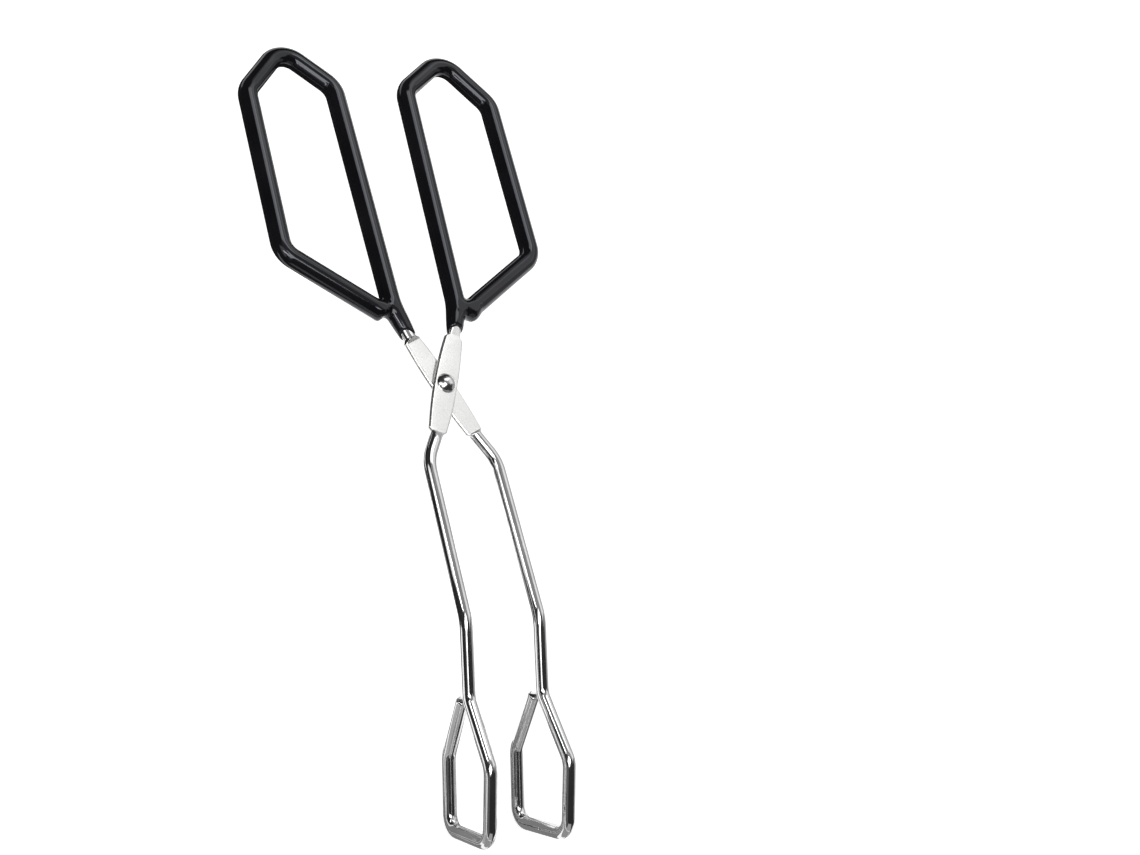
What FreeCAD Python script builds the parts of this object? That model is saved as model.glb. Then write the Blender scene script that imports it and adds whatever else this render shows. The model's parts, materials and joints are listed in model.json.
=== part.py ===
import FreeCAD, Part
import math
import os

from FreeCAD import Vector

# Scissor tongs: two bent wire arms that cross at one rivet, each with a closed handle loop dipped
# in vinyl and a closed jaw loop cranked down out of the scissor plane. Millimetres and degrees.
# The arms are drawn about the pivot, handles towards +Y, then set down on z = 0.

# Wire and coating
wire_radius = 2.25
coating_radius = 3.45
coating_end_cap = 1.2
coating_neck_radius = 2.85
coating_taper_length = 6.0

# Flattened middle of each arm, where the rivet goes through
flat_thickness = 1.9
flat_half_length = 18.6
flat_middle_half_width = 4.4
flat_end_half_width = 3.4
shoulder_length = 1.6
wire_in_flat = 1.5
press_ramp_length = 2.4
press_clearance = 0.2
flat_angle = 23.8
gap_between_flats = 0.1

# Rivet
rivet_radius = 2.0
rivet_clearance = 0.05
rivet_head_radius = 3.5
rivet_head_height = 2.1
rivet_head_rim = 0.3
rivet_tail_radius = 3.0
rivet_tail_height = 1.1

# Handle loop: x is the distance from the middle plane, y the distance past the pivot
neck_bend = (12.1, 30.5)
inner_shoulder = (13.9, 118.3)
handle_top = (31.9, 132.9)
outer_shoulder = (48.2, 114.6)
outer_heel = (48.6, 50.6)
loop_closing_end = (17.0, 28.6)
neck_bend_radius = 25.0
handle_corner_radius = 8.0
bare_neck = 2.4

# Vinyl web that bridges the end of the handle loop and the neck
web_corners = [(12.6, 33.2), (17.4, 30.2), (16.3, 28.0), (12.0, 26.5)]
web_thickness = 5.0

# Jaw: knee and crank of the lower arm, then the closed loop
knee = (13.7, 28.0)
crank = (14.5, 84.6)
knee_radius = 15.0
crank_radius = 18.0
crank_angle = 22.4
crank_to_throat = 24.9
jaw_angle = 26.5
throat_to_jaw_shoulder = 20.3
jaw_side_length = 24.1
jaw_shoulder_half_width = 14.8
jaw_tip_half_width = 13.9
jaw_lean = 3.5
jaw_throat_radius = 7.0
jaw_shoulder_radius = 7.0
jaw_tip_radius = 5.5
jaw_end_gap = 4.6
jaw_end_setback = 1.0

# Bend radii, in the order of the corners they round
handle_radii = [neck_bend_radius] + 4 * [handle_corner_radius]
jaw_radii = [
    knee_radius,
    crank_radius,
    jaw_throat_radius,
    jaw_shoulder_radius,
    jaw_tip_radius,
    jaw_tip_radius,
    jaw_shoulder_radius,
]


def turned(point, angle):
    """The point turned about the pivot axis by an angle in degrees."""
    return FreeCAD.Rotation(Vector(0, 0, 1), angle).multVec(point)


def rounded_path(points, bend_radii):
    """Straight runs joined by tangent arcs, with one bend radius for each inner point."""
    edges = []
    start = points[0]
    for before, corner, after, radius in zip(points, points[1:], points[2:], bend_radii):
        incoming = (corner - before).normalize()
        outgoing = (after - corner).normalize()
        half_turn = incoming.getAngle(outgoing) / 2
        setback = radius * math.tan(half_turn)
        inward = (outgoing - incoming).normalize()
        arc_start = corner - incoming * setback
        arc_middle = corner + inward * radius * (1 / math.cos(half_turn) - 1)
        arc_end = corner + outgoing * setback
        edges.append(Part.LineSegment(start, arc_start).toShape())
        edges.append(Part.Arc(arc_start, arc_middle, arc_end).toShape())
        start = arc_end
    edges.append(Part.LineSegment(start, points[-1]).toShape())
    return Part.Wire(edges)


def tube(points, bend_radii, radius):
    """A round solid swept along a path of straight runs and arcs."""
    path = rounded_path(points, bend_radii)
    section = Part.Wire(Part.makeCircle(radius, points[0], points[1] - points[0]))
    return path.makePipeShell([section], True, False)


def prism(corners, bottom, height):
    """A straight-sided solid on a closed outline in the plane z = bottom."""
    outline = Part.makePolygon([Vector(x, y, bottom) for x, y in corners + corners[:1]])
    return Part.Face(outline).extrude(Vector(0, 0, height))


def flat_blade():
    """The flattened length of an arm, drawn along Y: widest at the rivet, tapered to the wire."""
    end = flat_half_length
    tip = flat_half_length + shoulder_length
    bottom = -flat_thickness / 2
    sides = []
    for side in (1, -1):
        middle = Vector(side * flat_middle_half_width, 0, bottom)
        upper = Vector(side * flat_end_half_width, end, bottom)
        lower = Vector(side * flat_end_half_width, -end, bottom)
        upper_tip = Vector(side * wire_radius, tip, bottom)
        lower_tip = Vector(side * wire_radius, -tip, bottom)
        sides.append(Part.Arc(lower, middle, upper).toShape())
        sides.append(Part.LineSegment(upper, upper_tip).toShape())
        sides.append(Part.LineSegment(lower_tip, lower).toShape())
    for y in (tip, -tip):
        ends = (Vector(-wire_radius, y, bottom), Vector(wire_radius, y, bottom))
        sides.append(Part.LineSegment(*ends).toShape())
    outline = Part.Wire(Part.sortEdges(sides)[0])
    return Part.Face(outline).extrude(Vector(0, 0, flat_thickness))


def press_ramps():
    """The four wedges that the press takes off the round wire where it runs into the flat."""
    low = flat_thickness / 2
    high = wire_radius + press_clearance
    finish = flat_half_length + shoulder_length
    start = finish - press_ramp_length
    wire_end = flat_half_length - wire_in_flat - press_clearance
    outline = [(wire_end, low), (start, low), (finish, high), (wire_end, high)]
    ramps = []
    for up in (1, -1):
        for along in (1, -1):
            points = [Vector(-flat_middle_half_width, along * y, up * z) for y, z in outline + outline[:1]]
            face = Part.Face(Part.makePolygon(points))
            ramps.append(face.extrude(Vector(2 * flat_middle_half_width, 0, 0)))
    return ramps


def handle_points():
    """Corners of the handle wire from the flat round to the closing end, for a handle on the -X side."""
    neck_start = turned(Vector(0, flat_half_length - wire_in_flat, 0), flat_angle)
    corners = (neck_bend, inner_shoulder, handle_top, outer_shoulder, outer_heel, loop_closing_end)
    return [neck_start] + [Vector(-x, y, 0) for x, y in corners]


def sloping(angle):
    """The unit direction towards the jaws that dips below the scissor plane by an angle in degrees."""
    return Vector(0, -math.cos(math.radians(angle)), -math.sin(math.radians(angle)))


def jaw_point(along, across):
    """A point of the jaw loop: along its middle line from the throat, across it towards the top."""
    throat = Vector(crank[0], -crank[1], 0) + sloping(crank_angle) * crank_to_throat
    upward = sloping(jaw_angle - 90)
    lean = math.radians(jaw_lean)
    crossways = upward * math.cos(lean) + Vector(math.sin(lean), 0, 0)
    return throat + sloping(jaw_angle) * along + crossways * across


def jaw_points():
    """Corners of the jaw wire from the flat round to the end tucked behind the arm, on the +X side."""
    flat_end = turned(Vector(0, wire_in_flat - flat_half_length, 0), flat_angle)
    shoulder = throat_to_jaw_shoulder
    tip = shoulder + jaw_side_length
    return [
        flat_end,
        Vector(knee[0], -knee[1], 0),
        Vector(crank[0], -crank[1], 0),
        jaw_point(0, 0),
        jaw_point(shoulder, jaw_shoulder_half_width),
        jaw_point(tip, jaw_tip_half_width),
        jaw_point(tip, -jaw_tip_half_width),
        jaw_point(shoulder, -jaw_shoulder_half_width),
        jaw_point(jaw_end_setback, -jaw_end_gap),
    ]


def wire_arm(hole_radius):
    """One arm with its handle on the -X side and its jaw on the +X side, wire centred on z = 0."""
    handle_wire = tube(handle_points(), handle_radii, wire_radius)
    jaw_wire = tube(jaw_points(), jaw_radii, wire_radius)
    blade = flat_blade()
    hole = Part.makeCylinder(hole_radius, flat_thickness * 2, Vector(0, 0, -flat_thickness))
    pressed = [ramp.rotate(Vector(0, 0, 0), Vector(0, 0, 1), flat_angle) for ramp in press_ramps()]
    blade.rotate(Vector(0, 0, 0), Vector(0, 0, 1), flat_angle)
    arm = handle_wire.fuse(jaw_wire).cut(pressed).fuse(blade).cut(hole)
    return arm.removeSplitter()


def grip_coating(arm):
    """The vinyl on one handle loop: a round skin along the wire, closed at the loop's end by a web."""
    points = handle_points()
    neck_run = (points[1] - points[0]).normalize()
    mouth = points[0] + neck_run * (wire_in_flat + shoulder_length + bare_neck)
    points[0] = mouth + neck_run * coating_taper_length
    taper = Part.makeCone(coating_neck_radius, coating_radius, coating_taper_length, mouth, neck_run)
    closing_run = (points[-1] - points[-2]).normalize()
    points[-1] = points[-1] + closing_run * coating_end_cap
    halfway = (points[4] + points[5]) / 2
    first = tube(points[:5] + [halfway], handle_radii[:4], coating_radius)
    second = tube([halfway] + points[5:], handle_radii[4:], coating_radius)
    web = prism([(-x, y) for x, y in web_corners], -web_thickness / 2, web_thickness)
    return first.fuse([taper, second, web]).cut(arm).removeSplitter()


def dome(radius, rim, height):
    """A round head standing on z = 0: a short straight rim under a spherical cap."""
    edge_low = Vector(radius, 0, 0)
    edge_high = Vector(radius, 0, rim)
    top = Vector(0, 0, height)
    rise = height - rim
    sphere_radius = (radius ** 2 + rise ** 2) / (2 * rise)
    half_angle = math.asin(radius / sphere_radius) / 2
    centre = height - sphere_radius
    bulge = Vector(sphere_radius * math.sin(half_angle), 0, centre + sphere_radius * math.cos(half_angle))
    profile = Part.Wire([
        Part.LineSegment(Vector(0, 0, 0), edge_low).toShape(),
        Part.LineSegment(edge_low, edge_high).toShape(),
        Part.Arc(edge_high, bulge, top).toShape(),
        Part.LineSegment(top, Vector(0, 0, 0)).toShape(),
    ])
    return Part.Face(profile).revolve(Vector(0, 0, 0), Vector(0, 0, 1), 360)


def pivot_rivet():
    """Domed head on the upper arm, shank through both flats, clenched tail under the lower arm."""
    tail_face = -gap_between_flats / 2 - flat_thickness
    head_face = gap_between_flats / 2 + flat_thickness + rivet_clearance
    shank = Part.makeCylinder(rivet_radius, head_face - tail_face, Vector(0, 0, tail_face))
    head = dome(rivet_head_radius, rivet_head_rim, rivet_head_height)
    head.translate(Vector(0, 0, head_face))
    tail = dome(rivet_tail_radius, rivet_head_rim, rivet_tail_height)
    tail.rotate(Vector(0, 0, 0), Vector(1, 0, 0), 180)
    tail.translate(Vector(0, 0, tail_face))
    return shank.fuse([head, tail]).removeSplitter()


def build():
    """All five pieces about the pivot, keyed by node name."""
    level = (flat_thickness + gap_between_flats) / 2
    left_arm = wire_arm(rivet_radius)
    left_coating = grip_coating(left_arm)
    right_arm = wire_arm(rivet_radius + rivet_clearance)
    right_coating = grip_coating(right_arm)
    right_arm = right_arm.mirror(Vector(0, 0, 0), Vector(1, 0, 0))
    right_coating = right_coating.mirror(Vector(0, 0, 0), Vector(1, 0, 0))
    for piece in (left_arm, left_coating):
        piece.translate(Vector(0, 0, -level))
    for piece in (right_arm, right_coating):
        piece.translate(Vector(0, 0, level))
    return {
        "left_handle_arm": left_arm,
        "right_handle_arm": right_arm,
        "left_grip_coating": left_coating,
        "right_grip_coating": right_coating,
        "pivot_rivet": pivot_rivet(),
    }


def main():
    os.makedirs("parts", exist_ok=True)
    pieces = build()
    box = Part.Compound(list(pieces.values())).optimalBoundingBox(False)
    pivot = Vector(-box.Center.x, -box.Center.y, -box.ZMin)
    print("pivot at", pivot)
    for name, piece in pieces.items():
        piece.translate(pivot)
        solid = piece.Solids[0]
        print(name, "solids", len(piece.Solids), "valid", solid.isValid(), "volume", round(solid.Volume, 1))
        solid.exportStep("parts/" + name + ".step")


main()
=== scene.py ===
import json
import math

import bmesh
import bpy
import numpy as np
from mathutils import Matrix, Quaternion, Vector


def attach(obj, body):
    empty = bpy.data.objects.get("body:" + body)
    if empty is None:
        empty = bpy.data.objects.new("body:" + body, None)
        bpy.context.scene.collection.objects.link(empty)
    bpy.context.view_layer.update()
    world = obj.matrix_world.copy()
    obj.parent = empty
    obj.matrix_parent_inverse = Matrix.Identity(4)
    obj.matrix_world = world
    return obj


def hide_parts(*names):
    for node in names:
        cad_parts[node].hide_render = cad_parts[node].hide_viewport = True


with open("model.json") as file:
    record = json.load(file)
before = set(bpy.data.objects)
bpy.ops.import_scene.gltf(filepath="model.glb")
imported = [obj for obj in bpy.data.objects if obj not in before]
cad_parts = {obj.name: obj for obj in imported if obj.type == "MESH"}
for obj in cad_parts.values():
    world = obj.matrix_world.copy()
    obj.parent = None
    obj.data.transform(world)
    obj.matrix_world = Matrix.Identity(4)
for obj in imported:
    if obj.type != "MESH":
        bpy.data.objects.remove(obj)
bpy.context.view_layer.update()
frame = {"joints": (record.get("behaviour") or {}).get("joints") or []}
pivot = Vector(frame["joints"][0]["pos_m"])

MM = 0.001

camera_azimuth = math.radians(-57.42)
camera_elevation = math.radians(49.37)
camera_roll = math.radians(48.8)
camera_distance = 0.7112
camera_lens = 66.3
aim_point = pivot + Vector((0.0354, -0.0234, 0.0148))

# Arms, in millimetres about the pivot: the left arm's handle is on the -X side, its jaw on the +X side
wire_radius = 2.25
arm_level = 1.0
flat_half_thickness = 0.95
flat_half_length = 18.6
flat_middle_half_width = 4.4
flat_end_half_width = 3.4
flat_edge_radius = 0.85
edge_ease = 1.15
flat_angle = math.radians(23.8)
press_shoulder = 1.6
flat_steps = 160
neck_bend = (12.1, 30.5)
inner_shoulder = (13.9, 118.3)
handle_top = (31.9, 132.9)
outer_shoulder = (48.2, 114.6)
outer_heel = (48.6, 50.6)
loop_closing_end = (17.0, 28.6)
neck_bend_radius = 25.0
handle_corner_radius = 8.0
knee = (13.7, 28.0)
crank = (14.5, 84.6)
knee_radius = 15.0
crank_radius = 18.0
crank_angle = math.radians(22.4)
crank_to_throat = 24.9
jaw_angle = math.radians(26.5)
throat_to_jaw_shoulder = 20.3
jaw_side_length = 24.1
jaw_shoulder_half_width = 14.8
jaw_tip_half_width = 13.9
jaw_lean = math.radians(3.5)
jaw_throat_radius = 7.0
jaw_shoulder_radius = 7.0
jaw_tip_radius = 5.5
jaw_end_gap = 4.6
jaw_end_setback = 1.0

# The chamfer where the wire is cut, and its steps in shares of it: how far in, and how far back
cut_chamfer = 0.35
cut_steps = ((0.5, 0.12), (1.0, 0.0))

# Vinyl
coating_radius = 3.45
coating_neck_radius = 2.75
coating_taper_length = 12.0
heel_cap = 1.2
near_part_end = 60.0
mouth_lip = 0.9
heel_lip = 1.3
web_blend = 2.2
neck_blend = 1.8
mouth_ripple = 0.1
mouth_ripple_waves = 5
voxel = 0.42
settle_step = 0.02
least_slope = 0.2

# What differs between the hands. Of the vinyl: the mouth's distance from the rivet, how far its edge tilts
# and arches, the angle round the neck where the edge is furthest from the rivet, and the middle line and
# radius of what fills the web. Of the wire: where it starts to thicken from its flat, and over what length,
# first on the handle side and then on the jaw side.
left_details = {
    "mouth": 21.25,
    "tilt": 1.4,
    "arch": 0.5,
    "high_side": 140.0,
    "web": ((12.6, 29.6), (16.6, 29.4)),
    "web_radius": 2.6,
    "rises": ((18.4, 1.6), (18.9, 0.9)),
}
right_details = {
    "mouth": 22.1,
    "tilt": 1.2,
    "arch": 0.0,
    "high_side": 110.0,
    "web": ((12.8, 28.6), (17.2, 28.0)),
    "web_radius": 3.1,
    "rises": ((20.6, 1.6), (18.8, 4.0)),
}

# Rivet
rivet_head_radius = 3.5
rivet_head_height = 2.1
rivet_head_rim = 0.3
rivet_tail_radius = 3.0
rivet_tail_height = 1.1
rivet_shank_radius = 2.0
rivet_gap = 0.1
rivet_edge = 0.15
rivet_edge_lift = 0.01
rivet_crown_steps = 24
rivet_rim_steps = 6
rivet_tail_steps = 12
rivet_sides = 96
rivet_crown_share = 0.97
rivet_tail_clearance = 0.05

# The rivet's tail in shares of its radius and height: where its side ends, and the dish inside that
rivet_tail_crown = 0.72
rivet_tail_depth = 0.92
rivet_tail_dish = ((0.45, 0.78), (0.2, 0.55), (0.0, 0.5))


# ---------------------------------------------------------------- paths

def sloping(angle):
    """The unit direction towards the jaws that dips below the scissor plane."""
    return Vector((0, -math.cos(angle), -math.sin(angle)))


def jaw_point(along, across):
    """A point of the jaw loop: along its middle line from the throat, across it towards the top."""
    throat = Vector((crank[0], -crank[1], 0)) + sloping(crank_angle) * crank_to_throat
    upward = sloping(jaw_angle - math.pi / 2)
    crossways = upward * math.cos(jaw_lean) + Vector((math.sin(jaw_lean), 0, 0))
    return throat + sloping(jaw_angle) * along + crossways * across


def jaw_corners():
    shoulder = throat_to_jaw_shoulder
    tip = shoulder + jaw_side_length
    return [
        (Vector((knee[0], -knee[1], 0)), knee_radius),
        (Vector((crank[0], -crank[1], 0)), crank_radius),
        (jaw_point(0, 0), jaw_throat_radius),
        (jaw_point(shoulder, jaw_shoulder_half_width), jaw_shoulder_radius),
        (jaw_point(tip, jaw_tip_half_width), jaw_tip_radius),
        (jaw_point(tip, -jaw_tip_half_width), jaw_tip_radius),
        (jaw_point(shoulder, -jaw_shoulder_half_width), jaw_shoulder_radius),
        (jaw_point(jaw_end_setback, -jaw_end_gap), 0),
    ]


def handle_corners():
    """The handle wire's corners from the neck to its closing end, on the -X side."""
    corners = (neck_bend, inner_shoulder, handle_top, outer_shoulder, outer_heel, loop_closing_end)
    radii = [neck_bend_radius] + 4 * [handle_corner_radius] + [0]
    return [(Vector((-x, y, 0)), radius) for (x, y), radius in zip(corners, radii)]


def flat_point(along):
    """A point on the flat's middle line, that far from the pivot towards the handle."""
    return Vector((-math.sin(flat_angle) * along, math.cos(flat_angle) * along, 0))


def rounded(corners, arc_steps=14, run_step=4.0):
    """Points along straight runs joined by tangent arcs; a corner is a point and its radius."""
    points = [corners[0][0].copy()]
    for (before, _), (corner, radius), (after, _) in zip(corners, corners[1:], corners[2:]):
        incoming = (corner - before).normalized()
        outgoing = (after - corner).normalized()
        turn = incoming.angle(outgoing)
        setback = radius * math.tan(turn / 2)
        start = corner - incoming * setback
        add_run(points, start, run_step)
        if turn < 1e-4 or radius == 0:
            continue
        inward = (outgoing - incoming).normalized()
        centre = corner + inward * radius / math.cos(turn / 2)
        axis = incoming.cross(outgoing).normalized()
        for step in range(1, arc_steps + 1):
            spoke = Quaternion(axis, turn * step / arc_steps) @ (start - centre)
            points.append(centre + spoke)
    add_run(points, corners[-1][0], run_step)
    return points


def add_run(points, end, run_step):
    """Adds evenly spaced points from the last one to the end."""
    start = points[-1]
    count = max(1, round((end - start).length / run_step))
    for step in range(1, count + 1):
        points.append(start.lerp(end, step / count))


# ---------------------------------------------------------------- wire arms

def smooth(value):
    """0 below 0, 1 above 1, with a smooth step between them."""
    value = min(1.0, max(0.0, value))
    return value * value * (3 - 2 * value)


def section_at(distance, rises):
    """Half width, half thickness, edge radius and press amount of the arm at a distance from the rivet."""
    d = abs(distance)
    rise_start, rise_length = rises[0] if distance > 0 else rises[1]
    pressed = 1 - smooth((d - rise_start) / rise_length)
    bow = 1 - (min(d, flat_half_length) / flat_half_length) ** 2
    flat_width = flat_end_half_width + (flat_middle_half_width - flat_end_half_width) * bow
    width_share = 1 - smooth((d - flat_half_length) / press_shoulder)
    width = wire_radius + (flat_width - wire_radius) * width_share
    thickness = wire_radius + (flat_half_thickness - wire_radius) * pressed
    edge = wire_radius + (flat_edge_radius - wire_radius) * smooth(pressed * edge_ease)
    return width, thickness, min(edge, width, thickness), pressed


def ring(width, thickness, edge, arc_steps=9):
    """A rounded rectangle as (across, up) pairs; a circle when all three sizes are equal."""
    pairs = []
    for quarter in range(4):
        sx = (1, -1, -1, 1)[quarter]
        sy = (1, 1, -1, -1)[quarter]
        for step in range(arc_steps + 1):
            angle = math.pi / 2 * (quarter + step / arc_steps)
            x = sx * (width - edge) + edge * math.cos(angle)
            y = sy * (thickness - edge) + edge * math.sin(angle)
            pairs.append((x, y))
    return pairs


def mesh_from_rings(name, rings, lengths, tints, material):
    """A tube through the rings, closed with a face at each end, with a UV map and a press attribute."""
    mesh = bpy.data.meshes.new(name)
    count = len(rings[0])
    vertices = [point * MM + pivot for one in rings for point in one]
    faces = []
    for i in range(len(rings) - 1):
        for j in range(count):
            k = (j + 1) % count
            faces.append((i * count + j, i * count + k, (i + 1) * count + k, (i + 1) * count + j))
    faces.append(tuple(reversed(range(count))))
    faces.append(tuple(range((len(rings) - 1) * count, len(rings) * count)))
    mesh.from_pydata(vertices, [], faces)
    mesh.update()
    finish_mesh(mesh, material)
    layer = mesh.attributes.new("press", "FLOAT", "POINT")
    layer.data.foreach_set("value", [tint for tint in tints for _ in range(count)])
    uv = mesh.uv_layers.new(name="along_round")
    for face in mesh.polygons:
        places = [vertex % count for vertex in face.vertices]
        crosses_seam = len(places) == 4 and min(places) == 0 and max(places) == count - 1
        for loop in face.loop_indices:
            vertex = mesh.loops[loop].vertex_index
            around = vertex % count
            if around == 0 and crosses_seam:
                around = count
            uv.data[loop].uv = (lengths[vertex // count] * MM, around / count)
    return link(name, mesh)


def finish_mesh(mesh, material):
    """Turns the faces outward, shades them smooth and gives the mesh its one material."""
    work = bmesh.new()
    work.from_mesh(mesh)
    bmesh.ops.recalc_face_normals(work, faces=work.faces)
    work.to_mesh(mesh)
    work.free()
    for face in mesh.polygons:
        face.use_smooth = True
    mesh.materials.clear()
    mesh.materials.append(material)


def link(name, mesh):
    piece = bpy.data.objects.new(name, mesh)
    bpy.context.scene.collection.objects.link(piece)
    return piece


def arm_stations():
    """Points of the whole arm, from the handle's end to the jaw's, with their distance from the rivet."""
    flat_end = flat_half_length + press_shoulder
    handle = rounded([(flat_point(flat_end), 0)] + handle_corners())
    jaw = rounded([(flat_point(-flat_end), 0)] + jaw_corners(), run_step=1.0)
    marks = [flat_end - 2 * flat_end * step / flat_steps for step in range(1, flat_steps)]
    stations = [(point, flat_end + reach) for point, reach in reversed(with_reach(handle))]
    stations += [(flat_point(mark), mark) for mark in marks]
    stations += [(point, -flat_end - reach) for point, reach in with_reach(jaw)]
    return stations


def with_reach(points):
    """Each point with its distance along the path from the first one."""
    reach = 0.0
    pairs = []
    for before, point in zip([points[0]] + points, points):
        reach += (point - before).length
        pairs.append((point, reach))
    return pairs


def wire_arm(name, side, level, rises, material):
    """One arm as a single wire: round, pressed flat where the rivet goes through, and round again."""
    stations = arm_stations()
    points = [Vector((side * p.x, p.y, p.z + level)) for p, _ in stations]
    rings = []
    lengths = []
    tints = []
    travelled = 0.0
    across = None
    for i, point in enumerate(points):
        ahead = points[min(i + 1, len(points) - 1)]
        behind = points[max(i - 1, 0)]
        tangent = (ahead - behind).normalized()
        if across is None:
            across = tangent.cross(Vector((0, 0, 1))).normalized()
        across = (across - tangent * across.dot(tangent)).normalized()
        upward = across.cross(tangent)
        width, thickness, edge, pressed = section_at(stations[i][1], rises)
        travelled += (point - behind).length
        rings.append([point + across * x + upward * y for x, y in ring(width, thickness, edge)])
        lengths.append(travelled)
        tints.append(pressed)
    end_middle = points[-1]
    end_tangent = (points[-1] - points[-2]).normalized()
    full_ring = rings[-1]
    rings[-1] = [p - end_tangent * cut_chamfer for p in full_ring]
    for inset, back in cut_steps:
        scale = 1 - cut_chamfer * inset / wire_radius
        narrowed = [end_middle + (p - end_middle) * scale for p in full_ring]
        rings.append([p - end_tangent * cut_chamfer * back for p in narrowed])
        lengths.append(travelled)
        tints.append(0.0)
    return mesh_from_rings(name, rings, lengths, tints, material)


# ---------------------------------------------------------------- vinyl coating

class Run:
    """The straight runs and arcs of a path in the plane z = 0, with their distance to any points."""

    def __init__(self, corners):
        self.lines = []
        self.arcs = []
        start = np.array(corners[0][0][:2])
        for (before, _), (corner, radius), (after, _) in zip(corners, corners[1:], corners[2:]):
            incoming = (corner - before).normalized()
            outgoing = (after - corner).normalized()
            turn = incoming.angle(outgoing)
            setback = radius * math.tan(turn / 2)
            arc_start = np.array((corner - incoming * setback)[:2])
            arc_end = np.array((corner + outgoing * setback)[:2])
            inward = (outgoing - incoming).normalized()
            centre = np.array((corner + inward * radius / math.cos(turn / 2))[:2])
            self.lines.append((start, arc_start))
            self.arcs.append((centre, radius, arc_start, arc_end))
            start = arc_end
        self.lines.append((start, np.array(corners[-1][0][:2])))

    def distance(self, points):
        flat = points[:, :2]
        best = np.full(len(points), np.inf)
        for a, b in self.lines:
            best = np.minimum(best, line_distance(flat, a, b))
        for centre, radius, a, b in self.arcs:
            best = np.minimum(best, arc_distance(flat, centre, radius, a, b))
        return np.hypot(best, points[:, 2])


def line_distance(flat, a, b):
    """How far each point of the plane is from the straight run from a to b."""
    along = b - a
    share = np.clip(((flat - a) @ along) / (along @ along), 0, 1)
    return np.linalg.norm(flat - a - share[:, None] * along, axis=1)


def arc_distance(flat, centre, radius, a, b):
    """How far each point of the plane is from the arc from a to b, or infinity past its ends."""
    out = flat - centre
    middle = (a + b) / 2 - centre
    size = np.linalg.norm(middle)
    half = np.arccos(np.clip((a - centre) @ middle / (np.linalg.norm(a - centre) * size), -1, 1))
    reach = np.linalg.norm(out, axis=1)
    angle = np.arccos(np.clip(out @ middle / (np.maximum(reach, 1e-9) * size), -1, 1))
    return np.where(angle <= half, np.abs(reach - radius), np.inf)


def blended(a, b, width):
    """The smaller of two distances, rounded where they are nearly equal."""
    mix = np.clip(0.5 + 0.5 * (b - a) / width, 0, 1)
    return b * (1 - mix) + a * mix - width * mix * (1 - mix)


class Coating:
    """The outer skin of the vinyl on the -X handle, as a distance field in millimetres.

    It is worked out in two stretches that meet half way along the handle's outer side. The mouth, the heel
    and the web are in the near part, on the rivet's side of near_part_end.
    """

    def __init__(self, details):
        corners = handle_corners()
        start = flat_point(details["mouth"])
        self.neck_run = (corners[0][0] - start).normalized()
        middle = (corners[3][0] + corners[4][0]) / 2
        self.end_run = (corners[-1][0] - corners[-2][0]).normalized()
        before_mouth = start - self.neck_run * coating_taper_length
        past_heel = corners[-1][0] + self.end_run * 2 * coating_taper_length
        self.mouth = np.array(start)
        self.heel = np.array(corners[-1][0] + self.end_run * heel_cap)
        self.first = Run([(before_mouth, 0)] + corners[:4] + [(middle, 0)])
        self.second = Run([(middle, 0), corners[4], (past_heel, 0)])
        self.details = details

    def value(self, points):
        neck = np.array(self.neck_run)
        rest = points - self.mouth
        along = rest @ neck
        side = rest @ np.array((neck[1], -neck[0], 0))
        ease = np.clip(along / coating_taper_length, 0, 1)
        ease = ease * (2 - ease)
        radius = coating_neck_radius + (coating_radius - coating_neck_radius) * ease
        radius = np.where(points[:, 1] > near_part_end, coating_radius, radius)
        first = self.first.distance(points) - radius
        turn = np.arctan2(points[:, 2], side)
        round_from_high = turn - math.radians(self.details["high_side"])
        edge = self.details["tilt"] * np.cos(round_from_high)
        edge = edge + self.details["arch"] * np.cos(2 * round_from_high)
        edge = edge + mouth_ripple * np.sin(mouth_ripple_waves * turn)
        near = points[:, 1] < near_part_end
        first = np.where(near, -blended(-first, along - edge, mouth_lip), first)
        second = self.second.distance(points) - coating_radius
        past = (points - self.heel) @ np.array(self.end_run)
        second = np.where(near, -blended(-second, -past, heel_lip), second)
        (ax, ay), (bx, by) = self.details["web"]
        web = line_distance(points[:, :2], np.array((-ax, ay)), np.array((-bx, by)))
        web = np.hypot(web, points[:, 2]) - self.details["web_radius"]
        joined = blended(blended(second, web, web_blend), first, neck_blend)
        joined = np.maximum(joined, np.abs(points[:, 2]) - coating_radius)
        return np.where(near, joined, np.minimum(first, second))


def settle(points, field, rounds=4):
    """Moves the points onto the surface where the distance field is zero."""
    for _ in range(rounds):
        value = field.value(points)
        slope = np.stack([
            field.value(points + offset) - field.value(points - offset)
            for offset in np.eye(3) * settle_step
        ], axis=1) / (2 * settle_step)
        size = np.maximum((slope ** 2).sum(axis=1), least_slope)
        points = points - slope * (value / size)[:, None]
    return points


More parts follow.
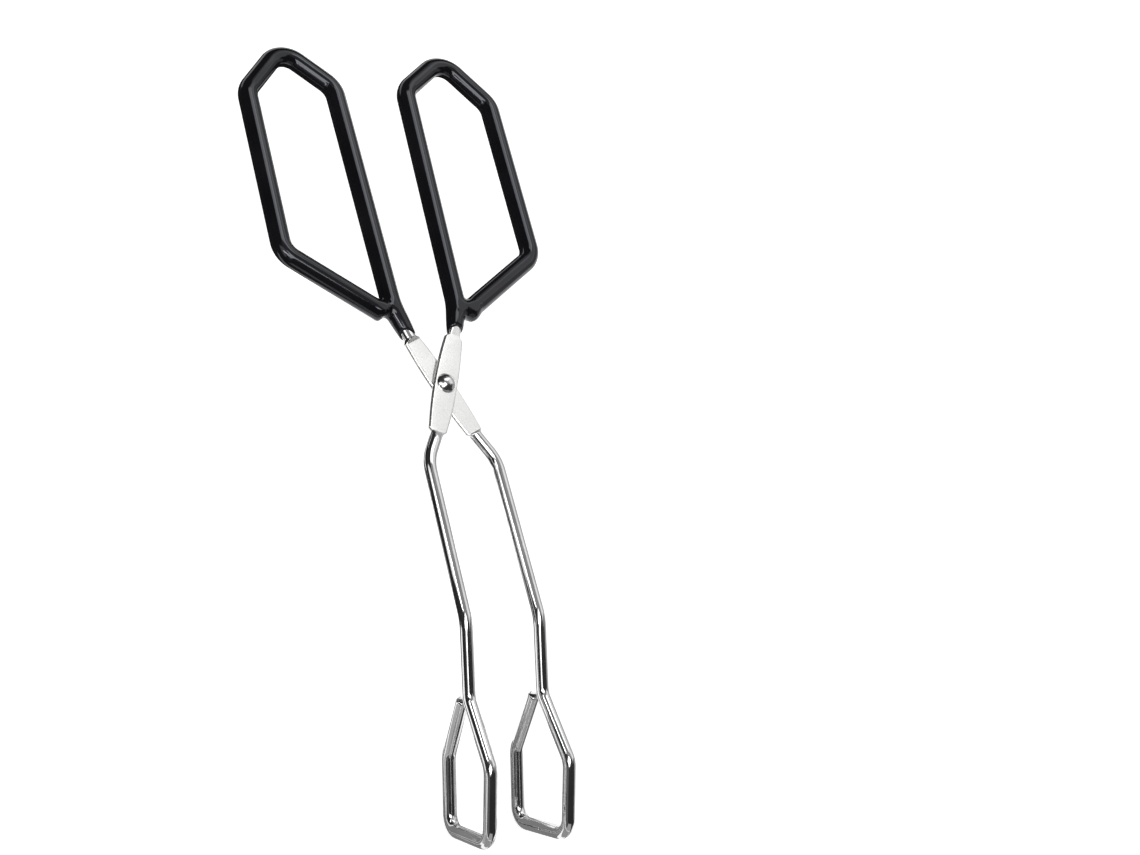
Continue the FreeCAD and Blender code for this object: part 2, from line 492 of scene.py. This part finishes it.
def coating(name, side, level, details, material):
    """A dipped vinyl skin: a tube, its web and its ends in one smooth closed surface."""
    field = Coating(details)
    mouth = Vector(field.mouth)
    corners = handle_corners()
    last = corners[-1][0] + field.end_run * heel_cap
    rough = rounded([(mouth, 0)] + corners[:-1] + [(last, 0)], arc_steps=8, run_step=2.0)
    work = bmesh.new()
    add_rough_tube(work, rough, coating_radius)
    (ax, ay), (bx, by) = details["web"]
    add_rough_tube(work, [Vector((-ax, ay, 0)), Vector((-bx, by, 0))], details["web_radius"])
    mesh = bpy.data.meshes.new(name)
    work.to_mesh(mesh)
    work.free()
    piece = link(name, mesh)
    remesh = piece.modifiers.new("remesh", "REMESH")
    remesh.mode = "VOXEL"
    remesh.voxel_size = voxel
    even = piece.modifiers.new("even", "SMOOTH")
    even.factor = 0.5
    even.iterations = 4
    depsgraph = bpy.context.evaluated_depsgraph_get()
    result = bpy.data.meshes.new_from_object(piece.evaluated_get(depsgraph))
    piece.modifiers.clear()
    points = np.zeros(len(result.vertices) * 3)
    result.vertices.foreach_get("co", points)
    points = settle(points.reshape(-1, 3), field)
    points[:, 0] *= side
    points[:, 2] += level
    result.vertices.foreach_set("co", (points * MM + np.array(pivot)).ravel())
    result.update()
    result.name = name
    piece.data = result
    bpy.data.meshes.remove(mesh)
    finish_mesh(result, material)
    return piece


def add_rough_tube(work, points, radius, sides=24):
    """A plain closed tube, which the remesh joins to the others."""
    rings = []
    for i, point in enumerate(points):
        ahead = points[min(i + 1, len(points) - 1)]
        behind = points[max(i - 1, 0)]
        tangent = (ahead - behind).normalized()
        across = tangent.cross(Vector((0, 0, 1))).normalized()
        upward = across.cross(tangent)
        spokes = [2 * math.pi * s / sides for s in range(sides)]
        ring_points = [point + (across * math.cos(t) + upward * math.sin(t)) * radius for t in spokes]
        rings.append([work.verts.new(place) for place in ring_points])
    for one, two in zip(rings, rings[1:]):
        for j in range(sides):
            k = (j + 1) % sides
            work.faces.new((one[j], one[k], two[k], two[j]))
    work.faces.new(list(reversed(rings[0])))
    work.faces.new(rings[-1])


# ---------------------------------------------------------------- rivet

def rivet_profile():
    """(radius, height) pairs from the crown of the head, down the shank, to the middle of the tail."""
    top = flat_half_thickness * 2 + rivet_gap
    rise = rivet_head_height - rivet_head_rim
    sphere = (rivet_head_radius ** 2 + rise ** 2) / (2 * rise)
    reach = math.asin(rivet_head_radius / sphere)
    profile = []
    for step in range(rivet_crown_steps + 1):
        angle = reach * step / rivet_crown_steps * rivet_crown_share
        profile.append((sphere * math.sin(angle), top + rivet_head_height - sphere * (1 - math.cos(angle))))
    for step in range(1, rivet_rim_steps + 1):
        profile.append((rivet_head_radius, top + rivet_head_rim * (1 - step / rivet_rim_steps)))
    tail = -top + rivet_tail_clearance
    profile.append((rivet_head_radius - rivet_edge, top + rivet_edge_lift))
    profile.append((rivet_shank_radius, top))
    profile.append((rivet_shank_radius, tail))
    profile.append((rivet_tail_radius - rivet_edge, tail))
    for step in range(rivet_tail_steps + 1):
        turn = math.pi / 2 * step / rivet_tail_steps
        radius = rivet_tail_radius * (rivet_tail_crown + (1 - rivet_tail_crown) * math.cos(turn))
        profile.append((radius, tail - rivet_tail_height * rivet_tail_depth * math.sin(turn)))
    for radius, depth in rivet_tail_dish:
        profile.append((rivet_tail_radius * radius, tail - rivet_tail_height * depth))
    return profile


def rivet(material):
    """The rivet turned from its profile."""
    profile = rivet_profile()
    vertices = []
    for radius, height in profile[1:-1]:
        for s in range(rivet_sides):
            angle = 2 * math.pi * s / rivet_sides
            vertices.append(Vector((radius * math.cos(angle), radius * math.sin(angle), height)) * MM + pivot)
    faces = []
    rows = len(profile) - 2
    for i in range(rows - 1):
        for j in range(rivet_sides):
            k = (j + 1) % rivet_sides
            here = i * rivet_sides
            below = here + rivet_sides
            faces.append((here + j, here + k, below + k, below + j))
    for middle, row in ((profile[0], 0), (profile[-1], rows - 1)):
        vertices.append(Vector((0, 0, middle[1])) * MM + pivot)
        centre = len(vertices) - 1
        for j in range(rivet_sides):
            faces.append((centre, row * rivet_sides + j, row * rivet_sides + (j + 1) % rivet_sides))
    mesh = bpy.data.meshes.new("rivet")
    mesh.from_pydata(vertices, [], faces)
    finish_mesh(mesh, material)
    return link("rivet", mesh)


# ---------------------------------------------------------------- materials

class Nodes:
    """A short way to add and join shader nodes."""

    def __init__(self, name):
        self.material = bpy.data.materials.new(name)
        self.material.use_nodes = True
        self.tree = self.material.node_tree
        self.shader = self.tree.nodes["Principled BSDF"]

    def add(self, kind, values=None, **settings):
        node = self.tree.nodes.new("ShaderNode" + kind)
        for key, value in settings.items():
            setattr(node, key, value)
        for key, value in (values or {}).items():
            node.inputs[key].default_value = value
        return node

    def join(self, source, target):
        self.tree.links.new(source, target)

    def noise(self, vector, scale, detail):
        node = self.add("TexNoise", {"Scale": scale, "Detail": detail, "Roughness": 0.5})
        self.join(vector, node.inputs["Vector"])
        return node.outputs["Fac"]

    def remap(self, value, low, high, to_low, to_high):
        values = {"From Min": low, "From Max": high, "To Min": to_low, "To Max": to_high}
        node = self.add("MapRange", values, interpolation_type="SMOOTHSTEP")
        self.join(value, node.inputs["Value"])
        return node.outputs["Result"]

    def ramp(self, value, stops):
        node = self.add("ValToRGB")
        elements = node.color_ramp.elements
        while len(elements) < len(stops):
            elements.new(0.5)
        for element, (place, color) in zip(elements, stops):
            element.position = place
            element.color = (*color, 1)
        self.join(value, node.inputs["Fac"])
        return node.outputs["Color"]

    def mix(self, data_type, factor, first, second):
        """A Mix node, whose sockets go by place because their names repeat."""
        node = self.add("Mix", data_type=data_type)
        first_input, result = {"FLOAT": (2, 0), "RGBA": (6, 2)}[data_type]
        self.join(factor, node.inputs[0])
        self.join(first, node.inputs[first_input])
        self.join(second, node.inputs[first_input + 1])
        return node.outputs[result]

    def bump(self, height, strength, distance, below=None):
        node = self.add("Bump", {"Strength": strength, "Distance": distance})
        self.join(height, node.inputs["Height"])
        if below:
            self.join(below, node.inputs["Normal"])
        return node.outputs["Normal"]


def plated_wire():
    """Bright plating over drawn wire: die lines along it, faint clouding, satin where it is pressed."""
    n = Nodes("plated_wire")
    place = n.add("TexCoord").outputs["Object"]
    along = n.add("UVMap", uv_map="along_round").outputs["UV"]
    stretch = n.add("Mapping", {"Scale": (14.0, 60.0, 1.0)})
    n.join(along, stretch.inputs["Vector"])
    lines = n.noise(stretch.outputs["Vector"], 1.0, 2.0)
    clouds = n.noise(place, 90.0, 3.0)
    grain = n.noise(place, 2600.0, 2.0)
    pressed = n.add("Attribute", attribute_name="press").outputs["Fac"]
    tint = n.ramp(clouds, [(0.3, (0.70, 0.70, 0.705)), (0.7, (0.80, 0.80, 0.80))])
    satin = n.ramp(clouds, [(0.3, (0.83, 0.83, 0.815)), (0.7, (0.90, 0.90, 0.885))])
    n.join(n.mix("RGBA", pressed, tint, satin), n.shader.inputs["Base Color"])
    smooth_part = n.remap(clouds, 0.3, 0.7, 0.07, 0.13)
    scuffed_part = n.remap(grain, 0.3, 0.7, 0.26, 0.36)
    n.join(n.mix("FLOAT", pressed, smooth_part, scuffed_part), n.shader.inputs["Roughness"])
    drawn = n.bump(lines, 0.15, 0.00001)
    n.join(n.bump(grain, 0.05, 0.000004, drawn), n.shader.inputs["Normal"])
    n.shader.inputs["Metallic"].default_value = 1.0
    return n.material


def plated_rivet():
    """Bright plating with a little haze."""
    n = Nodes("plated_rivet")
    place = n.add("TexCoord").outputs["Object"]
    haze = n.noise(place, 500.0, 3.0)
    tint = n.ramp(haze, [(0.3, (0.66, 0.66, 0.67)), (0.7, (0.78, 0.78, 0.78))])
    n.join(tint, n.shader.inputs["Base Color"])
    n.join(n.remap(haze, 0.3, 0.7, 0.15, 0.22), n.shader.inputs["Roughness"])
    n.join(n.bump(haze, 0.1, 0.00002), n.shader.inputs["Normal"])
    n.shader.inputs["Metallic"].default_value = 1.0
    return n.material


def black_vinyl():
    """Dipped vinyl: near black, glossy, with soft ripples, a fine orange peel and slight bloom."""
    n = Nodes("black_vinyl")
    place = n.add("TexCoord").outputs["Object"]
    ripple = n.noise(place, 110.0, 2.0)
    peel = n.noise(place, 900.0, 2.0)
    bloom = n.noise(place, 45.0, 4.0)
    tint = n.ramp(bloom, [(0.35, (0.0065, 0.0065, 0.0075)), (0.7, (0.011, 0.011, 0.0125))])
    n.join(tint, n.shader.inputs["Base Color"])
    n.join(n.remap(bloom, 0.3, 0.7, 0.06, 0.11), n.shader.inputs["Roughness"])
    waves = n.bump(ripple, 0.12, 0.0002)
    n.join(n.bump(peel, 0.06, 0.00005, waves), n.shader.inputs["Normal"])
    n.shader.inputs["IOR"].default_value = 1.52
    n.shader.inputs["Specular Tint"].default_value = (0.90, 0.92, 1.0, 1.0)
    return n.material


def pale_floor():
    """A matt white sheet with a very faint mottle."""
    n = Nodes("pale_floor")
    place = n.add("TexCoord").outputs["Object"]
    mottle = n.noise(place, 6.0, 2.0)
    tint = n.ramp(mottle, [(0.3, (0.90, 0.90, 0.90)), (0.7, (0.92, 0.92, 0.92))])
    n.join(tint, n.shader.inputs["Base Color"])
    n.join(tint, n.shader.inputs["Emission Color"])
    n.shader.inputs["Emission Strength"].default_value = floor_glow
    n.shader.inputs["Roughness"].default_value = 0.9
    n.shader.inputs["Specular IOR Level"].default_value = 0.0
    return n.material


# ---------------------------------------------------------------- studio

floor_glow = 0.8
world_light = 0.03

# Soft boxes: name, place in millimetres from the pivot, width and height in metres, brightness
soft_boxes = [
    ("key", (81, 486, 755), 0.46, 0.30, 2.3),
    ("fill", (520, 290, 690), 0.85, 0.62, 0.88),
    ("side", (857, 150, 265), 1.60, 0.54, 0.41),
    ("front", (-368, -218, 746), 0.36, 0.58, 4.6),
    ("overhead", (-60, 120, 1000), 0.70, 0.70, 0.26),
    ("back", (401, 618, 516), 0.50, 0.28, 0.55),
]

# The plane left of the tongs that the upright cards stand on, the window's just in front of it, and the
# height of the sheets, just above the floor
card_plane = -150
window_plane = card_plane + 1
floor_height = -43.2


def upright(corners, plane=card_plane):
    """Corners on a plane left of the tongs, from (y, z) pairs."""
    return [(plane, y, z) for y, z in corners]


def sheet(x0, y0, x1, y1):
    """Corners of a sheet lying on the floor."""
    return [(x, y, floor_height) for x, y in ((x0, y0), (x1, y0), (x1, y1), (x0, y1))]


# Cards that only reflections see: name, corners in millimetres from the pivot, and brightness
cards = [
    ("bright_card", upright([(-24, 25), (62, 70), (62, 190), (-24, 190)]), 1.05),
    ("upper_card", upright([(-24, 190), (62, 190), (62, 330), (-24, 330)]), 0.45),
    ("window", upright([(13, 92), (29, 100), (-16, 191), (-32, 183)], window_plane), 12.0),
    ("low_dark_card", upright([(-130, floor_height), (260, floor_height), (260, 25), (-130, 25)]), 0.02),
    ("arm_dark_sheet", sheet(card_plane, -70, -52, 20), 0.02),
    ("handle_dark_sheet", sheet(card_plane, 38, 70, 230), 0.02),
    ("jaw_side_sheet", sheet(card_plane, -168, -85, -118), 0.22),
    ("jaw_pale_sheet", sheet(-85, -175, -36, -105), 0.5),
    ("jaw_front_sheet", sheet(-200, -450, 60, -175), 0.35),
    ("rear_card", [(-300, -600, -40), (300, -600, -40), (300, -600, 260), (-300, -600, 260)], 0.42),
    ("rear_side_card", [(-450, -600, -40), (-450, -260, -40), (-450, -260, 300), (-450, -600, 300)], 0.13),
    # Painted shade: a grey sheet under the jaws that reflections see in place of the floor's shadow beneath
    # the jaw tips
    ("painted_jaw_shade_sheet", sheet(-30, -162, 22, -112), 0.25),
    ("low_arm_card", [(-324, -330, 250), (-324, -215, 250), (-324, -215, 410), (-324, -330, 410)], 0.7),
]


def make_soft_box(name, place, width, height, brightness):
    """An area light facing the pivot; its power gives that brightness whatever its size."""
    data = bpy.data.lights.new(name, "AREA")
    data.shape = "RECTANGLE"
    data.size = width
    data.size_y = height
    data.energy = brightness * width * height * math.pi
    box = bpy.data.objects.new(name, data)
    bpy.context.scene.collection.objects.link(box)
    outward = Vector(place) * MM
    box.location = pivot + outward
    box.rotation_mode = "QUATERNION"
    box.rotation_quaternion = outward.to_track_quat("Z", "Y")
    box.visible_camera = False


def card_material(name, brightness):
    """A matt card that glows evenly, with a faint mottle."""
    n = Nodes(name)
    place = n.add("TexCoord").outputs["Object"]
    mottle = n.noise(place, 8.0, 2.0)
    tint = n.ramp(mottle, [(0.3, (0.94, 0.94, 0.94)), (0.7, (1.0, 1.0, 1.0))])
    n.join(tint, n.shader.inputs["Emission Color"])
    n.shader.inputs["Emission Strength"].default_value = brightness
    n.shader.inputs["Base Color"].default_value = (0.0, 0.0, 0.0, 1.0)
    n.shader.inputs["Roughness"].default_value = 1.0
    n.shader.inputs["Specular IOR Level"].default_value = 0.0
    return n.material


def make_card(name, corners, brightness):
    """A flat card that only reflections see."""
    mesh = bpy.data.meshes.new(name)
    mesh.from_pydata([pivot + Vector(corner) * MM for corner in corners], [], [(0, 1, 2, 3)])
    mesh.materials.append(card_material(name, brightness))
    card = link(name, mesh)
    card.visible_camera = False
    card.visible_diffuse = False
    card.visible_shadow = False
    card.visible_transmission = False


def make_world():
    world = bpy.data.worlds.new("studio")
    bpy.context.scene.world = world
    world.use_nodes = True
    background = world.node_tree.nodes["Background"]
    background.inputs["Color"].default_value = (world_light, world_light, world_light, 1)


def make_floor():
    mesh = bpy.data.meshes.new("floor")
    half = 4.0
    corners = [(-half, -half, 0), (half, -half, 0), (half, half, 0), (-half, half, 0)]
    mesh.from_pydata(corners, [], [(0, 1, 2, 3)])
    mesh.materials.append(pale_floor())
    link("floor", mesh)


def make_camera():
    data = bpy.data.cameras.new("camera")
    data.lens = camera_lens
    data.sensor_width = 36.0
    camera = bpy.data.objects.new("camera", data)
    bpy.context.scene.collection.objects.link(camera)
    level = math.cos(camera_elevation)
    back = Vector((
        math.sin(camera_azimuth) * level,
        -math.cos(camera_azimuth) * level,
        math.sin(camera_elevation),
    ))
    camera.location = aim_point + back * camera_distance
    camera.rotation_mode = "QUATERNION"
    camera.rotation_quaternion = (-back).to_track_quat("-Z", "Y") @ Quaternion((0, 0, 1), camera_roll)
    bpy.context.scene.camera = camera


# ---------------------------------------------------------------- build

bpy.context.scene.view_settings.view_transform = "Standard"
make_camera()
make_world()
make_floor()
for soft_box in soft_boxes:
    make_soft_box(*soft_box)
for card in cards:
    make_card(*card)

chrome = plated_wire()
vinyl = black_vinyl()
# Hand, body, 1 for the side as drawn or -1 for mirrored, the wire's height, and the details
halves = [
    ("left", "left_half", 1, -arm_level, left_details),
    ("right", "right_half", -1, arm_level, right_details),
]
for hand, body, side, level, details in halves:
    arm = wire_arm(hand + "_wire_arm", side, level, details["rises"], chrome)
    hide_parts(hand + "_handle_arm")
    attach(arm, body)
    grip = coating(hand + "_vinyl_grip", side, level, details, vinyl)
    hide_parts(hand + "_grip_coating")
    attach(grip, body)

rivet_piece = rivet(plated_rivet())
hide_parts("pivot_rivet")
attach(rivet_piece, "left_half")
